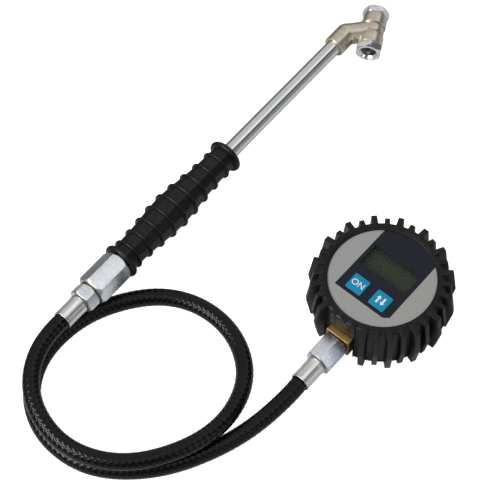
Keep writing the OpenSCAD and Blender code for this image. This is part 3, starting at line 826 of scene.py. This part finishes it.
def make_face():
    holes = [rectangle(0, DISPLAY_Y, DISPLAY_W, DISPLAY_H, 0.3)]
    holes += [rectangle(x, KEY_Y, KEY_HOLE, KEY_HOLE, 0.6) for x in (-KEY_X, KEY_X)]
    # The grey film's holes are wider, so that it doesn't show inside the dark panel's
    wide = KEY_HOLE + GREY_BACK
    wide_holes = [rectangle(0, DISPLAY_Y, DISPLAY_W + GREY_BACK, DISPLAY_H + GREY_BACK, 0.3)]
    wide_holes += [rectangle(x, KEY_Y, wide, wide, 0.6) for x in (-KEY_X, KEY_X)]
    grey = flat_shape([circle_points(LABEL_R)] + wide_holes, FACE_Z, LABEL_TOP, 0.05)
    piece("label", smooth(grey), Matrix.Identity(4), LABEL_GREY, "gauge", "face_label")
    dark = flat_shape([panel_outline()] + holes, FACE_Z + 0.02, LABEL_TOP + 0.04)
    piece("label_panel", smooth(dark), Matrix.Identity(4), PANEL_DARK, "gauge")


make_face()


def key_mesh(x):
    """A key: raised cap with soft edges, flange and stem, in one solid."""
    cap = flat_shape([rectangle(x, KEY_Y, KEY_SIDE, KEY_SIDE, 0.7)], 29.9, KEY_TOP, 0.25)
    flange = box_mesh(
        (x - KEY_SIDE / 2 - 1, KEY_Y - KEY_SIDE / 2 - 1, 29.8),
        (x + KEY_SIDE / 2 + 1, KEY_Y + KEY_SIDE / 2 + 1, 30.8),
    )
    stem = moved(lathe([(0, 28.95), (1.6, 28.95), (1.6, 30.2), (0, 30.2)], 32), shift(x, KEY_Y, 0))
    return combined(cap, [flange, stem], "UNION")


def text_mesh(words, size, x, y, low, high):
    curve = bpy.data.curves.new("words", "FONT")
    curve.body = words
    curve.size = size
    curve.align_x = "CENTER"
    curve.align_y = "CENTER"
    curve.extrude = (high - low) / 2
    curve.offset = 0.02
    obj = bpy.data.objects.new("words", curve)
    bpy.context.scene.collection.objects.link(obj)
    bpy.context.view_layer.update()
    mesh = after_modifiers(obj)
    bpy.data.objects.remove(obj)
    mesh.transform(shift(x, y, (low + high) / 2))
    return mesh


def arrow_outline(x, y, up):
    """An arrow 5 mm long that points up or down the face."""
    half = [(0.55, -2.5), (0.55, 0.6), (1.45, 0.6), (0, 2.5)]
    points = [(px, py) for px, py in half] + [(-px, py) for px, py in reversed(half[:-1])]
    return [(x + px, y + (py if up else -py)) for px, py in points]


def make_keys():
    on_cap = smooth(key_mesh(-KEY_X), 30)
    piece("on_key_cap", on_cap, Matrix.Identity(4), KEY_BLUE, "on_key", "on_key")
    unit_cap = smooth(key_mesh(KEY_X), 30)
    piece(
        "unit_key_cap", unit_cap, Matrix.Identity(4), KEY_BLUE, "unit_key",
        "unit_key",
    )
    print_low, print_high = KEY_TOP - 0.02, KEY_TOP + 0.02
    words = text_mesh("ON", 5.2, -KEY_X, KEY_Y, print_low, print_high)
    piece("on_key_print", words, Matrix.Identity(4), KEY_WHITE, "on_key")
    arrows = flat_shape(
        [arrow_outline(KEY_X - 1.6, KEY_Y, True), arrow_outline(KEY_X + 1.6, KEY_Y, False)],
        print_low, print_high,
    )
    piece("unit_key_print", arrows, Matrix.Identity(4), KEY_WHITE, "unit_key")


make_keys()

# ---------------------------------------------------------------------------
# Brass stem and hose fittings


def make_stem():
    block = box_mesh(
        (-STEM_W / 2, -STEM_FACE, STEM_Z - STEM_H / 2),
        (STEM_W / 2, -STEM_BACK, STEM_Z + STEM_H / 2),
        bevel=0.5, segments=3,
    )
    bore = moved(lathe([(0, 0), (4.95, 0), (4.95, 12), (0, 12)], 64), on_stem(STEM_FACE - 10))
    block = combined(block, [bore], "DIFFERENCE")
    piece("stem_block", smooth(block, 40), Matrix.Identity(4), BRASS, "gauge", "brass_stem")


make_stem()


def hexagon(af, angle=0.0):
    corner = af / math.sqrt(3)
    turns = [math.radians(60 * k + angle) for k in range(6)]
    return [(corner * math.cos(a), corner * math.sin(a)) for a in turns]


def hex_mesh(af, length, clock, chamfer, edge=0.12, bore=None):
    """A hexagonal bar with both ends turned to a cone and its edges broken."""
    corner = af / math.sqrt(3)
    cone = lathe([
        (0, 0), (af / 2 - 0.2, 0), (corner + 0.1, chamfer), (corner + 0.1, length - chamfer),
        (af / 2 - 0.2, length), (0, length),
    ], 96)
    bar = prism(hexagon(af, clock), -0.01, length + 0.01)
    solid = combined(bar, [cone], "INTERSECT")
    if bore:
        solid = combined(solid, [bore], "DIFFERENCE")
    return bevelled(solid, edge, 2, 20)


def tail_mesh(af, hex_len, clock, chamfer):
    """A hose tail: thread, hexagon, neck and barb, bored through."""
    barb = [(1.9, -10.0), (4.6, -10.0)]
    for k in range(6):
        z = -9.6 + k * 1.5
        barb += [(4.85, z), (4.45, z + 0.75)]
    barb += [
        (4.85, -0.4), (4.85, 0.3), (4.0, 0.3), (4.0, hex_len - 0.3), (4.0, hex_len + 0.7),
        (3.0, hex_len + 0.7),
    ]
    for k in range(4):
        z = hex_len + 3.0 + k * 2.6
        barb += [(3.0, z), (2.6, z + 0.2), (3.0, z + 2.4)]
    barb += [(2.6, hex_len + 14.2), (1.9, hex_len + 14.2)]
    shank = lathe(barb, 64)
    body = hex_mesh(af, hex_len, clock, chamfer)
    hole = lathe([(0, -1), (1.9, -1), (1.9, hex_len + 1), (0, hex_len + 1)], 64)
    body = combined(body, [hole], "DIFFERENCE")
    return joined([body, shank])


def ferrule_mesh():
    """A crimped sleeve: the dies leave eight flats with low ridges between them."""
    crimp_from, crimp_to = 1.6, FERRULE_LEN - 1.2

    def crimped(radius, angle, height):
        if radius < FERRULE_R - 0.6:
            return radius
        rise = min(1, max(0, (height - crimp_from) / 0.8))
        fall = min(1, max(0, (crimp_to + 0.8 - height) / 0.8))
        ridge = abs(math.cos(4 * angle)) ** 14
        return radius - rise * fall * (0.22 - 0.2 * ridge)

    outline = rounded([
        (3.1, 0.0), (FERRULE_R, 0.0, 0.4), (FERRULE_R, FERRULE_LEN, 0.25), (5.05, FERRULE_LEN),
    ], 3)
    steps = [(FERRULE_R, 1.0 + k * 0.5) for k in range(27)]
    start = [p for p in outline if p[1] < 0.9]
    end = [p for p in outline if p[1] > FERRULE_LEN - 0.9]
    full = start + steps + end + [(5.05, 1.2), (3.1, 1.2)]
    return lathe(full, 192, crimped)


# How far each hexagon is turned on its thread, in degrees, and how deep its ends are turned
GAUGE_HEX_CLOCK, GAUGE_HEX_CHAMFER = 16, 0.7
HANDLE_HEX_CLOCK, HANDLE_HEX_CHAMFER = -5, 1.1
COUPLING_CLOCK, COUPLING_CHAMFER = -14, 2.1
GAUGE_HEX_AF = 15.0
HANDLE_HEX_AF = 14.0
COUPLING_AF = 17.0


def make_fittings():
    gauge_tail = tail_mesh(GAUGE_HEX_AF, GAUGE_HEX_LEN, GAUGE_HEX_CLOCK, GAUGE_HEX_CHAMFER)
    piece(
        "gauge_tail", smooth(gauge_tail, 30), on_stem(GAUGE_HEX_AT), ZINC, "gauge",
        "gauge_hose_tail",
    )
    handle_tail = tail_mesh(HANDLE_HEX_AF, HANDLE_HEX_LEN, HANDLE_HEX_CLOCK, HANDLE_HEX_CHAMFER)
    piece(
        "handle_tail", smooth(handle_tail, 30), on_lance(HANDLE_HEX_AT), ZINC, "gauge",
        "handle_hose_tail",
    )
    sleeve = smooth(ferrule_mesh(), 50)
    piece(
        "gauge_sleeve", sleeve, on_stem(GAUGE_FERRULE_AT), GAUGE_FERRULE, "gauge",
        "gauge_ferrule",
    )
    piece(
        "handle_sleeve", sleeve, on_lance(HANDLE_FERRULE_AT), HANDLE_FERRULE, "gauge",
        "handle_ferrule",
    )
    bore = lathe([
        (0, -1), (4.8, -1), (4.8, 11.2), (2.5, 11.2), (2.5, COUPLING_LEN - 10),
        (4.95, COUPLING_LEN - 10), (4.95, COUPLING_LEN + 1), (0, COUPLING_LEN + 1),
    ], 64)
    coupling = hex_mesh(COUPLING_AF, COUPLING_LEN, COUPLING_CLOCK, COUPLING_CHAMFER, 0.15, bore)
    piece(
        "coupling_hex", smooth(coupling, 30), on_lance(COUPLING_AT), ZINC, "gauge",
        "coupling",
    )


make_fittings()

# ---------------------------------------------------------------------------
# Grip

GRIP_PANELS = 10


def grip_radius(s):
    u = s / GRIP_LEN
    wave = math.sin(math.pi * min(max(u - 0.03, 0), 1))
    return 7.9 + 0.6 * u + 2.4 * wave ** 4


def rib_station(i):
    return 10.1 + 10.15 * i - 0.07 * i * i


def make_grip():
    stations = []
    flange_t = 4.0

    def flange(start, radius):
        """Rounded rim from start to start plus its thickness."""
        points = []
        for k in range(9):
            a = math.pi * k / 8
            height = start + flange_t / 2 - math.cos(a) * 1.6
            points.append((radius - 1.3 + 1.3 * math.sin(a), height))
        return points

    stations += [(s_r, s_z, True) for s_r, s_z in flange(0.0, 10.4)]
    ribs = [rib_station(i) for i in range(9)]
    edge = flange_t
    for rib in ribs:
        start, end = rib - 1.1, rib + 1.1
        for k in range(7):
            s = edge + (start - edge) * k / 6
            stations.append((grip_radius(s), s, False))
        top = grip_radius(rib) + 1.25
        for k in range(1, 8):
            a = math.pi * k / 8
            stations.append((top - 0.75 + 0.75 * math.sin(a), rib - 0.8 * math.cos(a), True))
        edge = end
    last = GRIP_LEN - flange_t
    for k in range(5):
        s = edge + (last - edge) * k / 4
        stations.append((grip_radius(s), s, False))
    stations += [(s_r, s_z, True) for s_r, s_z in flange(last, 10.9)]
    round_heights = {round(z, 4) for _, z, is_round in stations if is_round}

    def panelled(radius, angle, height):
        """Lengthwise panels on the body between the ribs."""
        if radius < 6 or round(height, 4) in round_heights:
            return radius
        pitch = 2 * math.pi / GRIP_PANELS
        off = (angle % pitch) - pitch / 2
        flat = radius * math.cos(pitch / 2) / math.cos(off)
        groove = 0.2 * math.exp(-((abs(off) - pitch / 2) / 0.04) ** 2)
        return 1.02 * (0.1 * radius + 0.9 * flat) - groove

    outline = [(4.8, 0.2)] + [(r, z) for r, z, _ in stations] + [(4.8, GRIP_LEN - 0.2)]
    mesh = lathe(outline, 200, panelled)
    piece(
        "grip_sleeve", smooth(mesh, 45), on_lance(GRIP_AT), GRIP_RUBBER, "gauge",
        "grip",
    )


make_grip()

# ---------------------------------------------------------------------------
# Chuck


def round_bar(radius, low, high, steps=64):
    return lathe([(0, low), (radius, low), (radius, high), (0, high)], steps)


def bar_between(start, end, radius):
    along = end - start
    turned = along.to_track_quat("Z", "Y").to_matrix().to_4x4()
    return moved(round_bar(radius, 0, along.length), Matrix.Translation(start) @ turned)


def remeshed(mesh, voxel, rounds):
    """One skin over overlapping solids, with soft fillets where they meet."""
    base = in_scene(mesh)
    modifier = base.modifiers.new("skin", "REMESH")
    modifier.mode = "VOXEL"
    modifier.voxel_size = voxel
    relax = base.modifiers.new("relax", "SMOOTH")
    relax.factor = 0.5
    relax.iterations = rounds
    bpy.context.view_layer.update()
    result = after_modifiers(base)
    bpy.data.objects.remove(base)
    return result


# Bars that are melted into one forging: the inlet boss, the neck, its widening and the barrels' bar
BOSS_R = 6.5
NECK_R = 6.3
NECK_WIDE_R = 5.4
BARREL_BAR_R = 6.2


def make_chuck():
    elbow = on_lance(BOSS_FRONT).to_translation()
    middle = elbow.lerp(CHUCK.to_translation(), 0.45)
    ball = bmesh.new()
    bmesh.ops.create_uvsphere(ball, u_segments=48, v_segments=32, radius=BOSS_R)
    forging = joined([
        moved(round_bar(BOSS_R, 0, BOSS_END - BOSS_FRONT), on_lance(BOSS_FRONT)),
        moved(mesh_from(ball, "ball"), on_lance(BOSS_FRONT)),
        bar_between(elbow, FRONT_BARREL @ Vector((0, 0, 1.2)), NECK_R),
        bar_between(middle, FRONT_BARREL @ Vector((0, 0, 6.0)), NECK_WIDE_R),
        moved(round_bar(BARREL_BAR_R, -5.0, 5.0), FRONT_BARREL),
    ])
    forging = remeshed(forging, 0.3, 14)
    ring = rounded([
        (0, -2.3), (6.75, -2.3, 0.2), (6.75, 2.3, 0.2), (0, 2.3),
    ], 2)
    barrel = rounded([
        (0, 2.0), (6.0, 2.0), (6.0, 2.9), (7.3, 3.5, 0.3), (7.3, 10.8, 0.4), (0, 10.8),
    ], 3)
    chamber = round_bar(5.4, 0.8, 20)
    solid = combined(
        forging,
        [moved(lathe(ring, 96), FRONT_BARREL), moved(lathe(barrel, 96), FRONT_BARREL),
         moved(lathe(barrel, 96), REAR_BARREL)],
        "UNION",
    )
    solid = combined(
        solid,
        [moved(chamber, FRONT_BARREL), moved(chamber, REAR_BARREL),
         moved(round_bar(4.8, 0, 20), on_lance(12.9))],
        "DIFFERENCE",
    )
    solid = smooth(solid, 40)
    forging = piece(
        "chuck_forging", solid, Matrix.Identity(4), NICKEL, "gauge", "chuck_body",
    )
    forging.data.materials.append(NICKEL_TURNED)
    to_barrel = (Matrix.Scale(MM, 4) @ FRONT_BARREL).inverted()
    for face in forging.data.polygons:
        place = to_barrel @ face.center
        if abs(place.z) > 3.1 and math.hypot(place.x, place.y) < 7.6:
            face.material_index = 1


make_chuck()


def cap_mesh(clock):
    """A foot's cap: hexagon, spigot, valve port and the seal's pocket."""
    length = 4.7
    low = 10.8
    mouth = low + length
    inside = lathe([
        (0, 6.0), (4.6, 6.0), (4.6, 9.5), (4.1, 9.5), (4.1, mouth - 1.4), (5.4, mouth + 0.01),
        (5.4, mouth + 1), (0, mouth + 1),
    ], 96)
    body = hex_mesh(14.0, length, clock, 0.8, 0.1)
    body.transform(shift(0, 0, low))
    spigot = round_bar(5.35, 7.0, low + 0.5, 96)
    body = combined(body, [spigot], "UNION")
    return combined(body, [inside], "DIFFERENCE")


def make_caps():
    for side, place, clock in (("front", FRONT_BARREL, 0), ("rear", REAR_BARREL, 30)):
        piece(
            side + "_foot_cap", smooth(cap_mesh(clock), 25), place, CAP_CHROME, "gauge",
            side + "_cap",
        )


make_caps()


def coil_mesh(radius, wire, turns, low, high):
    """A coil spring with its wire's centre between two heights."""
    count = int(turns * 32)
    sides = 10
    points = []
    faces = []
    for i in range(count + 1):
        angle = 2 * math.pi * turns * i / count
        height = low + (high - low) * i / count
        centre = Vector((radius * math.cos(angle), radius * math.sin(angle), height))
        out = Vector((math.cos(angle), math.sin(angle), 0))
        for k in range(sides):
            a = 2 * math.pi * k / sides
            points.append(centre + wire * (math.cos(a) * out + math.sin(a) * Vector((0, 0, 1))))
    for i in range(count):
        for k in range(sides):
            a = i * sides + k
            b = i * sides + (k + 1) % sides
            faces.append((a, b, b + sides, a + sides))
    faces.append(tuple(range(sides)))
    faces.append(tuple(range(len(points) - 1, len(points) - 1 - sides, -1)))
    mesh = bpy.data.meshes.new("coil")
    mesh.from_pydata([tuple(p) for p in points], [], faces)
    return mesh_from_mesh(mesh)


def mesh_from_mesh(mesh):
    bm = bmesh.new()
    bm.from_mesh(mesh)
    return mesh_from(bm, mesh.name)


def make_springs():
    low, high, travel = 0.85, 3.85, 1.8
    for side, place in (("front", FRONT_BARREL), ("rear", REAR_BARREL)):
        coil = smooth(coil_mesh(2.3, 0.3, 4, low + 0.3, high - 0.3), 60)
        spring = piece(
            side + "_coil", coil, place, WIRE, "gauge", side + "_spring"
        )
        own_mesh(spring)


make_springs()

# ---------------------------------------------------------------------------
# Stage and light

FLOOR_GREY = (0.6, 0.6, 0.61)
# Painted shade on the floor: its colour is dim left of x = -0.17 m and pale from x = -0.14 m on, a
# falloff of light painted into the floor
FLOOR_DIM = (0.12, 0.12, 0.12)
FLOOR_DIM_FULL = -0.17
FLOOR_DIM_NONE = -0.14
FLOOR_GLOW = 0.92
SIDE_LIGHT = [
    (0.0, 0.7), (0.38, 0.8), (0.47, 0.7), (0.55, 1.25), (0.7, 1.25), (0.75, 0.12), (0.9, 0.12),
    (0.96, (0.4, 0.48, 0.6)), (1.0, (0.4, 0.48, 0.6)),
]
HEIGHT_LIGHT = [(0.0, 0.04), (0.1, 0.2), (0.25, 0.95), (1.0, 1.0)]
SOFTBOXES = [
    ("left_softbox", (-0.44, -0.96, 0.85), (-0.05, 0, 0), (0.8, 0.6), 15),
    ("right_softbox", (0.8, -0.05, 0.45), (0, 0, 0), (0.6, 0.5), 0.8),
]


def make_stage():
    """A floor that looks white. In reflections its colour carries painted shade: pale near the
    object and dim to its left.
    """
    bm = bmesh.new()
    bmesh.ops.create_circle(bm, cap_ends=True, segments=96, radius=3)
    mesh = mesh_from(bm, "floor")
    floor = bpy.data.objects.new("floor", mesh)
    bpy.context.scene.collection.objects.link(floor)
    m = Material("pale_floor", FLOOR_GREY, roughness=0.8)
    m.set("Specular IOR Level", 0.0)
    across = m.node("ShaderNodeSeparateXYZ", Vector=m.position()).outputs["X"]
    lit = m.node("ShaderNodeMapRange", Value=across)
    lit.inputs["From Min"].default_value = FLOOR_DIM_FULL
    lit.inputs["From Max"].default_value = FLOOR_DIM_NONE
    # Painted shade: the floor's colour dims to the left of the object
    m.color(m.mix(lit.outputs["Result"], FLOOR_DIM, FLOOR_GREY))
    glow = m.node("ShaderNodeEmission")
    glow.inputs["Color"].default_value = (1, 1, 1, 1)
    glow.inputs["Strength"].default_value = FLOOR_GLOW
    both = m.node("ShaderNodeAddShader")
    m.tree.links.new(m.shader.outputs[0], both.inputs[0])
    m.tree.links.new(glow.outputs[0], both.inputs[1])
    camera_ray = m.node("ShaderNodeLightPath").outputs["Is Camera Ray"]
    choice = m.node("ShaderNodeMixShader", Fac=camera_ray)
    m.tree.links.new(m.shader.outputs[0], choice.inputs[1])
    m.tree.links.new(both.outputs[0], choice.inputs[2])
    m.tree.links.new(choice.outputs[0], m.tree.nodes["Material Output"].inputs["Surface"])
    mesh.materials.append(m.data)


def make_light():
    scene = bpy.context.scene
    scene.view_settings.view_transform = "Standard"
    world = bpy.data.worlds.new("studio")
    scene.world = world
    world.use_nodes = True
    tree = world.node_tree

    def math_node(kind, a, b=0.0):
        node = tree.nodes.new("ShaderNodeMath")
        node.operation = kind
        for socket, value in zip(node.inputs, (a, b)):
            if isinstance(value, bpy.types.NodeSocket):
                tree.links.new(value, socket)
            else:
                socket.default_value = value
        return node.outputs[0]

    def ramp(value, stops):
        node = tree.nodes.new("ShaderNodeValToRGB")
        tree.links.new(value, node.inputs["Fac"])
        elements = node.color_ramp.elements
        while len(elements) < len(stops):
            elements.new(0.5)
        for element, (place, grey) in zip(elements, stops):
            element.position = place
            element.color = (*grey, 1) if isinstance(grey, tuple) else (grey, grey, grey, 1)
        return node.outputs["Color"]

    # The studio as the pieces reflect it: grey on the left, then a bright band, a dark one and
    # a bluish one on the right, all of it dark low down
    place = tree.nodes.new("ShaderNodeTexCoord").outputs["Generated"]
    split = tree.nodes.new("ShaderNodeSeparateXYZ")
    tree.links.new(place, split.inputs[0])
    squares = [math_node("POWER", split.outputs[axis], 2.0) for axis in ("X", "Z")]
    flat = math_node("SQRT", math_node("ADD", *squares))
    across = math_node("DIVIDE", split.outputs["X"], flat)
    sides = ramp(math_node("ADD", math_node("MULTIPLY", across, 0.5), 0.5), SIDE_LIGHT)
    heights = ramp(split.outputs["Z"], HEIGHT_LIGHT)
    mix = tree.nodes.new("ShaderNodeMix")
    mix.data_type = "RGBA"
    mix.blend_type = "MULTIPLY"
    mix.inputs[0].default_value = 1.0
    tree.links.new(sides, mix.inputs[6])
    tree.links.new(heights, mix.inputs[7])
    seen = tree.nodes.new("ShaderNodeBackground")
    seen.inputs["Color"].default_value = (0.9, 0.9, 0.9, 1)
    reflected = tree.nodes["Background"]
    tree.links.new(mix.outputs[2], reflected.inputs["Color"])
    reflected.inputs["Strength"].default_value = 1.0
    either = tree.nodes.new("ShaderNodeMixShader")
    tree.links.new(tree.nodes.new("ShaderNodeLightPath").outputs["Is Camera Ray"], either.inputs[0])
    tree.links.new(reflected.outputs[0], either.inputs[1])
    tree.links.new(seen.outputs[0], either.inputs[2])
    tree.links.new(either.outputs[0], tree.nodes["World Output"].inputs["Surface"])

    def softbox(name, location, aim, size, power):
        light = bpy.data.objects.new(name, bpy.data.lights.new(name, "AREA"))
        light.data.shape = "RECTANGLE"
        light.data.size, light.data.size_y = size
        light.data.energy = power
        light.location = location
        direction = Vector(aim) - Vector(location)
        light.rotation_euler = direction.to_track_quat("-Z", "Y").to_euler()
        scene.collection.objects.link(light)

    for box in SOFTBOXES:
        softbox(*box)


make_stage()
make_light()
